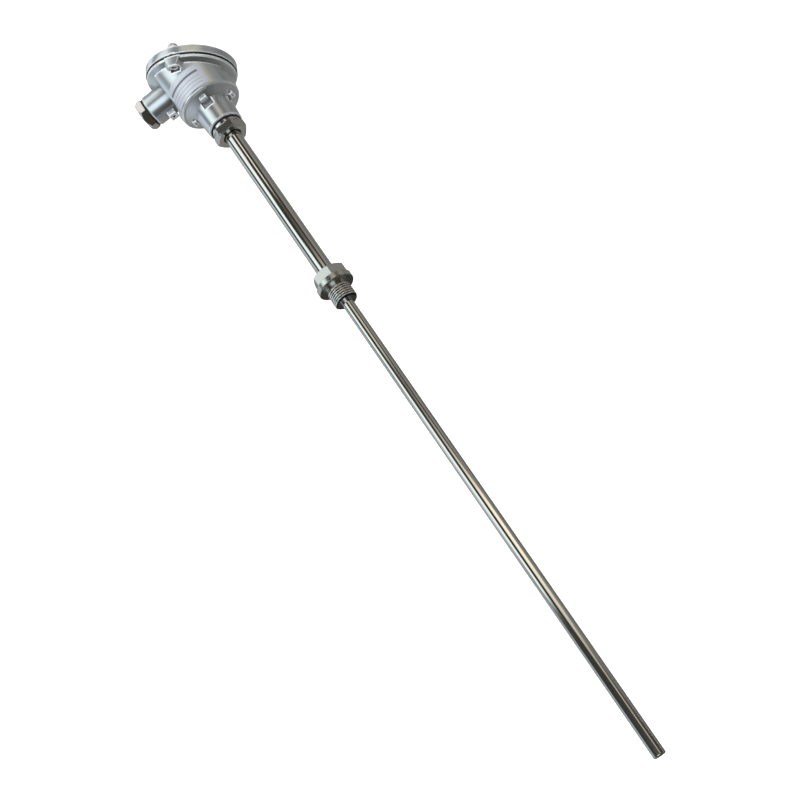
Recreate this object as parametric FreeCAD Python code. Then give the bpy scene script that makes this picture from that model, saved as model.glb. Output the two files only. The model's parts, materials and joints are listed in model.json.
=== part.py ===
"""Industrial resistance thermometer: head with an inclined lid, neck tube, process fitting and probe.

Millimetres. The origin is the centre of the process fitting's sealing face, +X runs along the probe to its
tip, the cable entry points to -Y and +Z is up.
"""
import FreeCAD
import Part
import math
import os

# Probe
insertion_length = 450.0
probe_diameter = 10.0
probe_wall = 1.0
tip_round = 1.0
tip_cap_length = 3.0
tip_plug_length = 6.0

# Process fitting, with a G 1/2 thread
thread_diameter = 20.955
thread_length = 14.0
thread_chamfer = 1.4
relief_diameter = 18.4
relief_length = 2.6
collar_diameter = 32.4
collar_length = 5.6
fitting_flats = 27.0
fitting_hex_length = 9.7
fitting_turn = 12.4
hex_land = 0.7
hex_chamfer_angle = 30.0
plug_chamfer_angle = 45.0
turned_edge = 0.5
neck_socket_depth = 8.0

# Neck tube and the gland screw that clamps it in the head
neck_diameter = 15.0
neck_wall = 2.0
neck_free_length = 164.7
clamp_ring_gap = 1.0
clamp_ring_length = 5.0
gland_thread_diameter = 24.0
gland_bore_gap = 0.8
gland_mouth_chamfer = 0.6
gland_flats = 27.0
gland_hex_length = 8.0
gland_turn = 8.5
gland_collar_diameter = 28.4
gland_collar_length = 3.0
neck_seal_thickness = 1.3
neck_seal_diameter = 29.6

# Head: base, hub and cast posts
base_radius = 28.0
base_round = 1.6
floor_thickness = 6.0
base_rise = 4.0
base_step = 2.5
hub_root_radius = 17.6
hub_end_radius = 16.2
hub_length = 27.3
hub_chamfer = 0.9
hub_passage = 17.0
gland_thread_depth = 19.5
post_width = 7.0
post_reach = 22.5
post_height = 5.0
post_round = 1.0
notch_width = 10.0
notch_end = 11.0
notch_flat_radius = 15.7

# Head: wall, rim and lid seat
lid_tilt = 26.7
lid_distance = 37.0
wall_thickness = 4.0
wall_top_radius = 36.2
rim_radius = 40.0
rim_edge = 2.2
rim_depth = 5.7
rim_overlap = 0.5
lug_width = 13.0
lug_root_width = 30.0
lug_foot_width = 8.8
lug_foot_root_width = 14.5
lug_depth = 9.5
lug_stand = 0.8
lug_round = 0.6
lug_foot_round = 2.4
lug_pocket_length = 2.5
lug_pocket_floor = 31.5

# Cable entry (M20 x 1.5), its plug and the earthing pad
entry_distance = 35.4
entry_diameter = 29.0
entry_reach = 48.0
entry_thread_diameter = 20.0
entry_chamfer = 1.2
entry_flat_reach = 24.5
entry_flat_wall = 3.0
entry_flat_width = 33.0
entry_flat_foot = 7.0
entry_flat_round = 2.5
plug_flats = 26.0
plug_turn = -3.0
plug_hex_length = 7.0
plug_thread_length = 9.0
plug_bore = 13.0
plug_seal_thickness = 1.6
plug_seal_diameter = 27.0
pad_length = 7.5
pad_width = 8.5
pad_height = 5.0
pad_distance = 33.0
pad_hole_diameter = 3.3
pad_hole_depth = 7.0

# Lid, its gasket and its captive screws
gasket_thickness = 1.2
gasket_inset = 0.4
gasket_inner_gap = 0.3
lid_overhang = 0.8
lid_height = 8.0
lid_crown = 9.4
lid_corner = 1.2
lid_edge_chamfer = 0.8
lid_skin = 2.8
lid_screw_radius = 36.5
lid_screw_diameter = 5.0
lid_screw_length = 18.0
lid_screw_head_diameter = 9.0
lid_screw_head_height = 3.4
lid_screw_slot = 1.2
lid_boss_diameter = 10.5
lid_boss_height = 8.8
lid_boss_inset = 0.2
retainer_diameter = 8.0
retainer_thickness = 1.2
retainer_gap = 0.2
lid_hole_gap = 0.25

# Measuring insert
insert_diameter = 6.0
insert_rest_gap = 4.0
plate_diameter = 42.0
plate_thickness = 2.5
plate_hole_gap = 0.5
ferrule_diameter = 9.0
ferrule_length = 8.0
rod_stub = 3.0
potting_length = 3.0
insert_screw_spacing = 33.0
insert_screw_diameter = 4.0
insert_screw_depth = 8.0
insert_screw_head_diameter = 7.6
insert_screw_head_height = 2.6
spring_length = 11.0
spring_outer_diameter = 6.8
spring_wire = 0.8
spring_turns = 5

# Terminal block
block_length = 36.0
block_width = 22.0
block_height = 11.0
block_round = 6.0
block_bore_gap = 0.2
clamp_length = 7.0
clamp_width = 6.0
clamp_height = 8.0
clamp_sunk = 6.0
clamp_pitch = 12.0
clamp_row_gap = 0.5
terminal_screw_diameter = 3.0
terminal_screw_head = 5.4
terminal_screw_head_height = 2.0
terminal_screw_length = 5.0
block_screw_offset = 6.2
block_screw_diameter = 3.0
block_screw_head = 4.8
block_screw_head_height = 2.0
wire_diameter = 0.8
wire_circle = 1.6
wire_bend = 1.0
wire_rise = 1.1

# Name plate on the head's wall
label_thickness = 0.3
label_gap = 0.1
label_foot = 2.6
label_top = 22.0
label_right_angle = 117.0
label_left_foot_angle = 36.0
label_left_top_angle = 49.0

# Clearances between pieces
slip = 0.05
contact_gap = 0.05
thread_gap = 0.2
past = 1.0

# Sizes that follow from what they fit to
gland_bore = neck_diameter + 2 * gland_bore_gap
clamp_ring_diameter = gland_thread_diameter - 2 * clamp_ring_gap
base_rise_radius = base_radius - base_step
chamber_radius = wall_top_radius - wall_thickness
lug_radius = rim_radius + lug_stand
lid_radius = rim_radius + lid_overhang
gasket_radius = rim_radius - gasket_inset
gasket_inner_radius = chamber_radius + gasket_inner_gap
plate_hole_diameter = insert_screw_diameter + 2 * plate_hole_gap
block_bore = insert_diameter + 2 * block_bore_gap
clamp_row = insert_diameter / 2 + clamp_row_gap + clamp_width / 2

# Places along the axis, worked back from the sealing face
x_hex = -(collar_length + fitting_hex_length)
x_socket = x_hex + neck_socket_depth
x_gland_front = x_hex - neck_free_length
x_gland_collar = x_gland_front - gland_hex_length
x_seal_front = x_gland_collar - gland_collar_length
x_hub_end = x_seal_front - neck_seal_thickness
x_base = x_hub_end - hub_length
x_shoulder = x_hub_end - gland_thread_depth
x_floor = x_base - floor_thickness
x_lid = x_base - lid_distance
x_entry = x_base - entry_distance
x_pad = x_entry + entry_diameter / 2 + pad_height
x_plate = x_floor - insert_rest_gap
x_block = x_plate - plate_thickness
x_block_top = x_block - block_height
x_spring_top = x_block - spring_length
x_cap = insertion_length - tip_cap_length
x_tip_inside = insertion_length - tip_plug_length

ORIGIN = FreeCAD.Vector(0, 0, 0)
X_AXIS = FreeCAD.Vector(1, 0, 0)
Y_AXIS = FreeCAD.Vector(0, 1, 0)
Z_AXIS = FreeCAD.Vector(0, 0, 1)
FULL_TURN = 360
QUARTERS = (0, 90, 180, 270)
HALVES = (0, 180)
COS_30 = math.cos(math.radians(30))
ROUND_MIDDLE = 1 - math.sqrt(0.5)
FINE = 1e-6
WIRE_SIDES = 6

# The lid's own frame: its x axis leaves the head squarely through the lid, and z stays up.
LID = FreeCAD.Placement(FreeCAD.Vector(x_lid, 0, 0), FreeCAD.Rotation(Z_AXIS, 180 - lid_tilt))


def vector(x, y, z):
    return FreeCAD.Vector(x, y, z)


def turned(start, *steps):
    """Solid turned about the X axis. A step is an (x, radius) corner, or two of them for an arc."""
    edges = []
    here = vector(*start, 0)
    for step in steps + (start,):
        if isinstance(step[0], tuple):
            through, end = step
            edges.append(Part.Arc(here, vector(*through, 0), vector(*end, 0)).toShape())
        else:
            end = step
            edges.append(Part.makeLine(here, vector(*end, 0)))
        here = vector(*end, 0)
    return Part.Face(Part.Wire(edges)).revolve(ORIGIN, X_AXIS, FULL_TURN)


def ring(x_start, x_end, outer_diameter, inner_diameter=0):
    """Plain round piece along X, with a bore where an inner diameter is given."""
    outer, inner = outer_diameter / 2, inner_diameter / 2
    return turned((x_start, inner), (x_start, outer), (x_end, outer), (x_end, inner))


def prism(points, along):
    return Part.Face(Part.makePolygon(points + points[:1])).extrude(along)


def hexagon(across_flats, turn, x_plain, x_end, chamfer_angle=hex_chamfer_angle):
    """Hexagonal prism along X, chamfered at its end. A turn of 0 puts one flat straight up."""
    flat = across_flats / 2
    corner = flat / COS_30
    points = []
    for side in range(6):
        angle = math.radians(60 * side + turn)
        points.append(vector(x_plain, corner * math.cos(angle), corner * math.sin(angle)))
    reach = corner + hex_land
    depth = (reach - flat + hex_land) * math.tan(math.radians(chamfer_angle))
    x_chamfer = x_end - math.copysign(depth, x_end - x_plain)
    land = flat - hex_land
    envelope = turned((x_plain, 0), (x_plain, reach), (x_chamfer, reach), (x_end, land), (x_end, 0))
    return prism(points, vector(x_end - x_plain, 0, 0)).common(envelope)


def dome_height(radius, edge_radius, rise):
    """Height of a dome over its edge, at a radius."""
    sphere = (edge_radius ** 2 + rise ** 2) / (2 * rise)
    return math.sqrt(sphere ** 2 - radius ** 2) - (sphere - rise)


def block(x_range, y_range, z_range):
    """Box between two limits on each axis."""
    low = vector(min(x_range), min(y_range), min(z_range))
    high = vector(max(x_range), max(y_range), max(z_range))
    size = high - low
    return Part.makeBox(size.x, size.y, size.z, low)


def rod_along_x(x_start, x_end, diameter, y=0, z=0):
    return Part.makeCylinder(diameter / 2, x_end - x_start, vector(x_start, y, z), X_AXIS)


def about_axis(shape, angle):
    return shape.rotated(ORIGIN, X_AXIS, angle)


def on_lid(shape):
    """Move a shape from the lid's frame into the head."""
    return shape.transformed(LID.toMatrix())


def wire_section(centre, normal, diameter):
    """Faceted section of a wire, square to its path."""
    start = Part.makeCircle(diameter / 2, centre, normal)
    return Part.makePolygon(start.discretize(WIRE_SIDES + 1))


def lengthwise_edges(shape):
    """Straight edges parallel to X."""
    return [e for e in shape.Edges if abs(e.BoundBox.XLength - e.Length) < FINE]


def rounded_corner(before, corner, after, setback):
    """Start, middle and end of the arc that rounds a corner from a setback on each side."""
    to_before = (before - corner).normalize()
    to_after = (after - corner).normalize()
    half_angle = to_before.getAngle(to_after) / 2
    depth = setback * (1 - math.sin(half_angle)) / math.cos(half_angle)
    bisector = (to_before + to_after).normalize()
    return corner + to_before * setback, corner + bisector * depth, corner + to_after * setback


def oblique(x_start, start_radius, lid_offset, end_radius):
    """Wall between a circle square to the axis and a circle parallel to the lid."""
    start = Part.Wire(Part.makeCircle(start_radius, ORIGIN, X_AXIS))
    start.Placement = FreeCAD.Placement(vector(x_start, 0, 0), FreeCAD.Rotation(Z_AXIS, 180))
    end = Part.Wire(Part.makeCircle(end_radius, ORIGIN, X_AXIS))
    end.Placement = LID.multiply(FreeCAD.Placement(vector(lid_offset, 0, 0), FreeCAD.Rotation()))
    return Part.makeLoft([start, end], True, True)


def rim_line(y, depth):
    """Where the plane that lies a depth below the lid seat crosses the head's middle plane at y."""
    tilt = math.radians(lid_tilt)
    return x_lid + depth / math.cos(tilt) + y * math.tan(tilt)


def beyond_flat(reach):
    """Room outside the flat behind the cable entry."""
    x_range = (x_lid - entry_reach, x_base - entry_flat_foot)
    return block(x_range, (-entry_reach, -reach), (-entry_reach, entry_reach))


def make_outer_wall():
    """Wall from the round base to the lid seat, flattened behind the cable entry."""
    wall = oblique(x_base, base_radius, -rim_depth, wall_top_radius)
    foot = [e for e in wall.Edges if e.BoundBox.XLength < FINE]
    wall = wall.makeFillet(base_round, foot).cut(beyond_flat(entry_flat_reach))
    sides = [e for e in wall.Edges if e.BoundBox.YMax < FINE - entry_flat_reach and e.BoundBox.XLength > past]
    return wall.makeFillet(entry_flat_round, sides)


def make_chamber():
    """Room inside the wall for the insert and its terminals."""
    chamber = oblique(x_floor, base_radius - wall_thickness, past, chamber_radius)
    return chamber.cut(beyond_flat(entry_flat_reach - entry_flat_wall))


def make_rim():
    """Flange under the lid, in the lid's frame. Its cone runs on to the flat behind the cable entry."""
    slope = (rim_depth - rim_edge) / (rim_radius - wall_top_radius + rim_overlap)
    root = rim_edge + (rim_radius - entry_flat_reach) * slope
    return turned((-root, 0), (-root, entry_flat_reach), (-rim_edge, rim_radius), (0, rim_radius), (0, 0))


def make_hub():
    """Hub that takes the gland screw, on a base that rises towards it."""
    inside = x_base - base_round
    return turned(
        (inside, 0),
        (inside, base_rise_radius),
        (x_base, base_rise_radius),
        (x_base + base_rise, hub_root_radius),
        (x_hub_end - hub_chamfer, hub_end_radius),
        (x_hub_end, hub_end_radius - hub_chamfer),
        (x_hub_end, 0),
    )


def make_post():
    half = post_width / 2
    post = block((x_base - base_round, x_base + post_height), (-half, half), (hub_passage / 2, post_reach))
    return post.makeFillet(post_round, lengthwise_edges(post))


def make_notch():
    """Flat that frees a driver at a post, cut into the side of the hub."""
    half = notch_width / 2
    reach = hub_root_radius + past
    return block((x_base + base_rise, x_base + notch_end), (-half, half), (notch_flat_radius, reach))


def lug_section(x, width, root_width, setback):
    """Outline of a lug square to its screw: flared towards the wall, its two outer corners rounded."""
    inner = chamber_radius
    root, front = root_width / 2, width / 2
    corners = [(-root, inner), (-front, lug_radius), (front, lug_radius), (root, inner)]
    root_left, front_left, front_right, root_right = [vector(x, y, z) for y, z in corners]
    left = rounded_corner(root_left, front_left, front_right, setback)
    right = rounded_corner(front_left, front_right, root_right, setback)
    return Part.Wire([
        Part.makeLine(root_left, left[0]),
        Part.Arc(*left).toShape(),
        Part.makeLine(left[2], right[0]),
        Part.Arc(*right).toShape(),
        Part.makeLine(right[2], root_right),
        Part.makeLine(root_right, root_left),
    ])


def make_lug():
    """Cast lug under the rim that takes a lid screw, in the lid's frame."""
    seat = lug_section(0, lug_width, lug_root_width, lug_round)
    foot = lug_section(-lug_depth, lug_foot_width, lug_foot_root_width, lug_foot_round)
    lug = Part.makeLoft([seat, foot], True, True)
    return lug.common(ring(-lug_depth, 0, 2 * lug_radius))


def make_lug_pocket():
    """Pocket in the wall under a lug, where the thread for the lid screw runs out."""
    half = lug_foot_width / 2
    return block((-lug_depth - lug_pocket_length, -lug_depth), (-half, half), (lug_pocket_floor, lug_radius))


def make_entry_block():
    """Flat-fronted thickening of the wall behind the cable entry."""
    inner = -entry_flat_reach / 2
    points = [
        vector(x_base - entry_flat_foot, inner, -entry_flat_width / 2),
        vector(x_base - entry_flat_foot, -entry_flat_reach, -entry_flat_width / 2),
        vector(rim_line(-entry_flat_reach, rim_edge), -entry_flat_reach, -entry_flat_width / 2),
        vector(rim_line(inner, rim_edge), inner, -entry_flat_width / 2),
    ]
    return prism(points, vector(0, 0, entry_flat_width))


def make_entry():
    """Round boss of the cable entry."""
    length = entry_reach - entry_flat_reach + wall_thickness
    entry = Part.makeCylinder(entry_diameter / 2, length, vector(x_entry, -entry_reach, 0), Y_AXIS)
    mouth = [e for e in entry.Edges if abs(e.BoundBox.YMax + entry_reach) < FINE]
    return entry.makeChamfer(entry_chamfer, mouth)


def make_pad():
    """Raised pad for the earthing screw, on the side of the cable entry."""
    half_length, half_width = pad_length / 2, pad_width / 2
    y_range = (-pad_distance - half_length, -pad_distance + half_length)
    pad = block((x_entry, x_pad), y_range, (-half_width, half_width))
    return pad.makeFillet(post_round, lengthwise_edges(pad))


def make_head_body():
    """Cast head: base and hub, oblique wall, lid seat with its lugs, cable entry and earthing pad."""
    solids = [make_hub(), on_lid(make_rim()), make_entry_block(), make_entry(), make_pad()]
    solids += [about_axis(make_post(), angle) for angle in QUARTERS]
    solids += [on_lid(about_axis(make_lug(), angle)) for angle in HALVES]
    body = make_outer_wall().multiFuse(solids)

    cuts = [
        on_lid(ring(0, entry_reach, 2 * entry_reach)),
        make_chamber(),
        ring(x_floor - past, x_shoulder + past, hub_passage),
        ring(x_shoulder, x_hub_end + past, gland_thread_diameter),
        Part.makeCylinder(entry_thread_diameter / 2, entry_reach, vector(x_entry, -entry_reach, 0), Y_AXIS),
        rod_along_x(x_pad - pad_hole_depth, x_pad, pad_hole_diameter, -pad_distance),
    ]
    cuts += [about_axis(make_notch(), angle) for angle in QUARTERS]
    lid_screw_hole = rod_along_x(-lug_depth, 0, lid_screw_diameter, 0, lid_screw_radius)
    lug_cuts = (lid_screw_hole, make_lug_pocket())
    cuts += [on_lid(about_axis(shape, angle)) for shape in lug_cuts for angle in HALVES]
    hole_end = x_floor + insert_screw_depth + past
    insert_screw_hole = rod_along_x(x_floor, hole_end, insert_screw_diameter, 0, insert_screw_spacing / 2)
    cuts += [about_axis(insert_screw_hole, angle) for angle in HALVES]
    return body.cut(cuts).removeSplitter()


def make_lid():
    """Cast lid: a shallow crowned dish with two screw bosses."""
    seat = gasket_thickness
    top = seat + lid_height
    rise = lid_crown - lid_height
    flank = lid_radius - lid_corner
    lean = lid_corner * ROUND_MIDDLE
    half = flank / 2
    lid = turned(
        (seat + lid_crown, 0),
        ((top + dome_height(half, flank, rise), half), (top, flank)),
        ((top - lean, lid_radius - lean), (top - lid_corner, lid_radius)),
        (seat + lid_edge_chamfer, lid_radius),
        (seat, lid_radius - lid_edge_chamfer),
        (seat, gasket_inner_radius),
        (top - lid_skin, gasket_inner_radius - lid_edge_chamfer),
        (seat + lid_crown - lid_skin, 0),
    )
    boss_top = seat + lid_boss_height
    boss = rod_along_x(seat, boss_top, lid_boss_diameter, 0, lid_screw_radius)
    boss = boss.common(ring(seat + lid_edge_chamfer, boss_top, 2 * (lid_radius - lid_boss_inset)))
    hole = rod_along_x(seat, boss_top, lid_screw_diameter + 2 * lid_hole_gap, 0, lid_screw_radius)
    pocket = rod_along_x(
        seat, seat + retainer_thickness + slip, retainer_diameter + 2 * retainer_gap, 0, lid_screw_radius
    )
    lid = lid.fuse([about_axis(boss, angle) for angle in HALVES])
    lid = lid.cut([about_axis(shape, angle) for shape in (hole, pocket) for angle in HALVES])
    return on_lid(lid.removeSplitter())


def make_lid_gasket():
    gasket = ring(0, gasket_thickness, 2 * gasket_radius, 2 * gasket_inner_radius)
    hole = rod_along_x(0, gasket_thickness, lid_screw_diameter + 2 * lid_hole_gap, 0, lid_screw_radius)
    return on_lid(gasket.cut([about_axis(hole, angle) for angle in HALVES]))


def slotted_screw(x_under_head, length, diameter, head_diameter, head_height, slot):
    """Pan-head screw along X: the head stands towards -X, the shank runs towards +X."""
    edge = head_height / 3
    head_radius = head_diameter / 2
    x_top = x_under_head - head_height
    screw = turned(
        (x_top, 0),
        (x_top, head_radius - edge),
        (x_top + edge, head_radius),
        (x_under_head, head_radius),
        (x_under_head, diameter / 2),
        (x_under_head + length - diameter / 5, diameter / 2),
        (x_under_head + length, diameter / 3),
        (x_under_head + length, 0),
    )
    depth = head_height / 2
    return screw.cut(block((x_top, x_top + depth), (-head_diameter, head_diameter), (-slot / 2, slot / 2)))


def lid_screw_at(angle):
    """One lid screw, turned so that its head stands out of the lid."""
    head_seat = gasket_thickness + lid_boss_height
    screw = slotted_screw(
        -head_seat,
        lid_screw_length,
        lid_screw_diameter - 2 * thread_gap,
        lid_screw_head_diameter,
        lid_screw_head_height,
        lid_screw_slot,
    )
    screw = screw.rotated(ORIGIN, Z_AXIS, 180).translated(vector(0, 0, lid_screw_radius))
    return on_lid(about_axis(screw, angle))


def make_lid_screws():
    return Part.makeCompound([lid_screw_at(angle) for angle in HALVES])


def make_screw_retainers():
    """Soft rings that keep the lid screws in the lid."""
    top = gasket_thickness + retainer_thickness
    retainer = ring(gasket_thickness, top, retainer_diameter, lid_screw_diameter - 2 * thread_gap + 2 * slip)
    retainer = retainer.translated(vector(0, 0, lid_screw_radius))
    return Part.makeCompound([on_lid(about_axis(retainer, angle)) for angle in HALVES])


def along_entry(shape):
    """Turn a shape from +X to the cable entry's way out, and carry it to the entry's mouth."""
    return shape.rotated(ORIGIN, Z_AXIS, -90).translated(vector(x_entry, -entry_reach, 0))


def make_plug_seal():
    return along_entry(ring(0, plug_seal_thickness, plug_seal_diameter, entry_thread_diameter + 2 * slip))


def make_blanking_plug():
    """Hollow threaded plug with a chamfered hexagon head."""
    start = plug_seal_thickness
    end = start + plug_hex_length
    head = hexagon(plug_flats, plug_turn, start, end, plug_chamfer_angle)
    shank = ring(-plug_thread_length, start, entry_thread_diameter - 2 * slip)
    bore = ring(-plug_thread_length, start + plug_hex_length / 2, plug_bore)
    return along_entry(head.fuse(shank).cut(bore).removeSplitter())


def make_neck_seal():
    return ring(x_hub_end, x_seal_front, neck_seal_diameter, gland_thread_diameter + 2 * slip)


def make_gland_screw():
    """Hollow hexagon screw that clamps the neck tube in the hub."""
    head = hexagon(gland_flats, gland_turn, x_gland_collar, x_gland_front)
    collar = ring(x_seal_front, x_gland_collar, gland_collar_diameter)
    shank = ring(x_shoulder + clamp_ring_length, x_seal_front, gland_thread_diameter - 2 * slip)
    bore = turned(
        (x_shoulder, 0),
        (x_shoulder, gland_bore / 2),
        (x_gland_front - gland_mouth_chamfer, gland_bore / 2),
        (x_gland_front, gland_bore / 2 + gland_mouth_chamfer),
        (x_gland_front, 0),
    )
    return head.fuse([collar, shank]).cut(bore).removeSplitter()


def make_clamp_ring():
    return ring(x_shoulder, x_shoulder + clamp_ring_length, clamp_ring_diameter, neck_diameter + 2 * slip)


def make_neck_tube():
    return ring(x_shoulder, x_socket, neck_diameter, neck_diameter - 2 * neck_wall)


def make_process_fitting():
    """Turned fitting: hexagon, round collar with the sealing face, relief and thread."""
    head = hexagon(fitting_flats, fitting_turn, -collar_length, x_hex)
    collar_radius = collar_diameter / 2
    shank = turned(
        (-collar_length, 0),
        (-collar_length, collar_radius - turned_edge),
        (turned_edge - collar_length, collar_radius),
        (-turned_edge, collar_radius),
        (0, collar_radius - turned_edge),
        (0, relief_diameter / 2),
        (relief_length, relief_diameter / 2),
        (relief_length + thread_chamfer / 2, thread_diameter / 2),
        (relief_length + thread_length - thread_chamfer, thread_diameter / 2),
        (relief_length + thread_length, thread_diameter / 2 - thread_chamfer),
        (relief_length + thread_length, 0),
    )
    bores = [
        ring(x_hex, x_socket, neck_diameter + 2 * slip),
        ring(x_socket, relief_length + thread_length, probe_diameter + 2 * slip),
    ]
    return head.fuse(shank).cut(bores).removeSplitter()


def make_probe_tube():
    return ring(x_socket, x_cap, probe_diameter, probe_diameter - 2 * probe_wall)


def make_tip_plug():
    """Rounded cap that closes the probe, with a spigot in the tube."""
    outer = probe_diameter / 2
    spigot = outer - probe_wall - slip
    lean = tip_round * ROUND_MIDDLE
    return turned(
        (x_tip_inside, 0),
        (x_tip_inside, spigot),
        (x_cap, spigot),
        (x_cap, outer),
        (insertion_length - tip_round, outer),
        ((insertion_length - lean, outer - lean), (insertion_length, outer - tip_round)),
        (insertion_length, 0),
    )


def make_insert_rod():
    return ring(x_block - rod_stub, x_tip_inside - contact_gap, insert_diameter)


def make_potting():
    """Sealing cap on the end of the mineral-insulated rod."""
    top = x_block - rod_stub
    return ring(top - potting_length, top, insert_diameter)


def make_ferrule():
    return ring(x_plate, x_plate + ferrule_length, ferrule_diameter, insert_diameter + 2 * slip)


def make_insert_plate():
    plate = ring(x_block, x_plate, plate_diameter, insert_diameter + 2 * slip)
    screw_hole = rod_along_x(x_block, x_plate, plate_hole_diameter, 0, insert_screw_spacing / 2)
    block_hole = rod_along_x(x_block, x_plate, block_screw_diameter + 2 * slip, block_screw_offset)
    return plate.cut([about_axis(hole, angle) for hole in (screw_hole, block_hole) for angle in HALVES])


def terminal_places():
    """Middle of each terminal on the block, row by row."""
    return [(column * clamp_pitch, row * clamp_row) for row in (-1, 1) for column in (-1, 0, 1)]


def make_terminal_block():
    half_length, half_width = block_length / 2, block_width / 2
    ceramic = block((x_block_top, x_block), (-half_length, half_length), (-half_width, half_width))
    ceramic = ceramic.makeFillet(block_round, lengthwise_edges(ceramic))
    cuts = [ring(x_block_top, x_block, block_bore)]
    for y, z in terminal_places():
        cuts.append(
            block(
                (x_block_top, x_block_top + clamp_sunk),
                (y - clamp_length / 2 - 2 * slip, y + clamp_length / 2 + 2 * slip),
                (z - clamp_width / 2 - 2 * slip, z + clamp_width / 2 + 2 * slip),
            )
        )
    head_room = x_block_top + block_screw_head_height + 1
    for side in (-1, 1):
        y = side * block_screw_offset
        cuts.append(rod_along_x(x_block_top, head_room, block_screw_head + 4 * slip, y))
        cuts.append(rod_along_x(x_block_top, x_block, block_screw_diameter + 4 * slip, y))
    return ceramic.cut(cuts)


def make_terminal_clamps():
    x_top = x_block_top + clamp_sunk - clamp_height
    clamps = []
    for y, z in terminal_places():
        clamp = block(
            (x_top, x_block_top + clamp_sunk),
            (y - clamp_length / 2, y + clamp_length / 2),
            (z - clamp_width / 2, z + clamp_width / 2),
        )
        clamps.append(clamp.cut(rod_along_x(x_top, x_top + clamp_height, terminal_screw_diameter, y, z)))
    return Part.makeCompound(clamps)


def make_terminal_screws():
    x_seat = x_block_top + clamp_sunk - clamp_height
    screw = slotted_screw(
        x_seat,
        terminal_screw_length,
        terminal_screw_diameter - 2 * slip,
        terminal_screw_head,
        terminal_screw_head_height,
        terminal_screw_diameter / 4,
    )
    return Part.makeCompound([screw.translated(vector(0, y, z)) for y, z in terminal_places()])


def make_block_screws():
    x_seat = x_block_top + block_screw_head_height + 1
    screw = slotted_screw(
        x_seat,
        x_plate - x_seat,
        block_screw_diameter - 2 * slip,
        block_screw_head,
        block_screw_head_height,
        block_screw_diameter / 4,
    )
    return Part.makeCompound([screw.translated(vector(0, side * block_screw_offset, 0)) for side in (-1, 1)])


def make_insert_screws():
    length = x_floor + insert_screw_depth - x_spring_top
    screw = slotted_screw(
        x_spring_top,
        length,
        insert_screw_diameter - 2 * slip,
        insert_screw_head_diameter,
        insert_screw_head_height,
        insert_screw_diameter / 4,
    )
    screw = screw.translated(vector(0, 0, insert_screw_spacing / 2))
    return Part.makeCompound([about_axis(screw, angle) for angle in HALVES])


def make_insert_springs():
    """Compression springs between the screw heads and the insert's plate."""
    height = spring_length - spring_wire - 2 * contact_gap
    coil_radius = (spring_outer_diameter - spring_wire) / 2
    helix = Part.makeHelix(height / spring_turns, height, coil_radius)
    section = wire_section(vector(coil_radius, 0, 0), Y_AXIS, spring_wire)
    coil = Part.Wire(helix.Edges).makePipeShell([section], True, True)
    coil = coil.rotated(ORIGIN, Y_AXIS, 90)
    coil = coil.translated(vector(x_spring_top + contact_gap + spring_wire / 2, 0, insert_screw_spacing / 2))
    return Part.makeCompound([about_axis(coil, angle) for angle in HALVES])


def make_lead_wires():
    """Bent leads from the potting to the inner side of each terminal."""
    x_start = x_block - rod_stub - potting_length
    x_level = x_block_top - wire_rise
    wires = []
    for y, z in terminal_places():
        angle = math.atan2(z, y)
        out = vector(0, math.cos(angle), math.sin(angle))
        reach_y = (abs(y) - clamp_length / 2) / abs(out.y) if y else math.inf
        reach_z = (abs(z) - clamp_width / 2) / abs(out.z)
        reach = max(reach_z, reach_y) if y else reach_z
        foot = vector(x_start, 0, 0) + out * wire_circle
        bend_start = vector(x_level + wire_bend, 0, 0) + out * wire_circle
        bend_end = vector(x_level, 0, 0) + out * (wire_circle + wire_bend)
        lean = wire_bend * ROUND_MIDDLE
        bend_middle = vector(x_level + lean, 0, 0) + out * (wire_circle + lean)
        end = vector(x_level, 0, 0) + out * (reach - wire_diameter / 4 - contact_gap)
        path = Part.Wire([
            Part.makeLine(foot, bend_start),
            Part.Arc(bend_start, bend_middle, bend_end).toShape(),
            Part.makeLine(bend_end, end),
        ])
        section = wire_section(foot, X_AXIS, wire_diameter)
        wires.append(path.makePipeShell([section], True, True))
    return Part.makeCompound(wires)


def make_name_plate():
    """Thin plate that follows the head's wall, cut as a strip wrapped on a cone."""
    reach = 2 * base_radius

    def sector(x, left, right):
        points = [vector(x, 0, 0)]
        for angle in (math.radians(left), math.radians(right)):
            points.append(vector(x, -reach * math.cos(angle), reach * math.sin(angle)))
        return Part.makePolygon(points + points[:1])

    foot = sector(x_base - label_foot, label_left_foot_angle, label_right_angle)
    top = sector(x_base - label_top, label_left_top_angle, label_right_angle)
    strip = Part.makeLoft([foot, top], True, True)
    lift = label_gap + label_thickness
    outer = oblique(x_base, base_radius + lift, -rim_depth, wall_top_radius + lift)
    inner = oblique(x_base, base_radius + label_gap, -rim_depth, wall_top_radius + label_gap)
    return outer.cut(inner).common(strip)


PIECES = {
    "head_body": make_head_body,
    "lid": make_lid,
    "lid_gasket": make_lid_gasket,
    "lid_screws": make_lid_screws,
    "screw_retainers": make_screw_retainers,
    "name_plate": make_name_plate,
    "blanking_plug": make_blanking_plug,
    "plug_seal": make_plug_seal,
    "gland_screw": make_gland_screw,
    "neck_seal": make_neck_seal,
    "clamp_ring": make_clamp_ring,
    "neck_tube": make_neck_tube,
    "process_fitting": make_process_fitting,
    "probe_tube": make_probe_tube,
    "tip_plug": make_tip_plug,
    "insert_rod": make_insert_rod,
    "insert_potting": make_potting,
    "insert_ferrule": make_ferrule,
    "insert_plate": make_insert_plate,
    "insert_screws": make_insert_screws,
    "insert_springs": make_insert_springs,
    "terminal_block": make_terminal_block,
    "terminal_clamps": make_terminal_clamps,
    "terminal_screws": make_terminal_screws,
    "block_screws": make_block_screws,
    "lead_wires": make_lead_wires,
}

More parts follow.
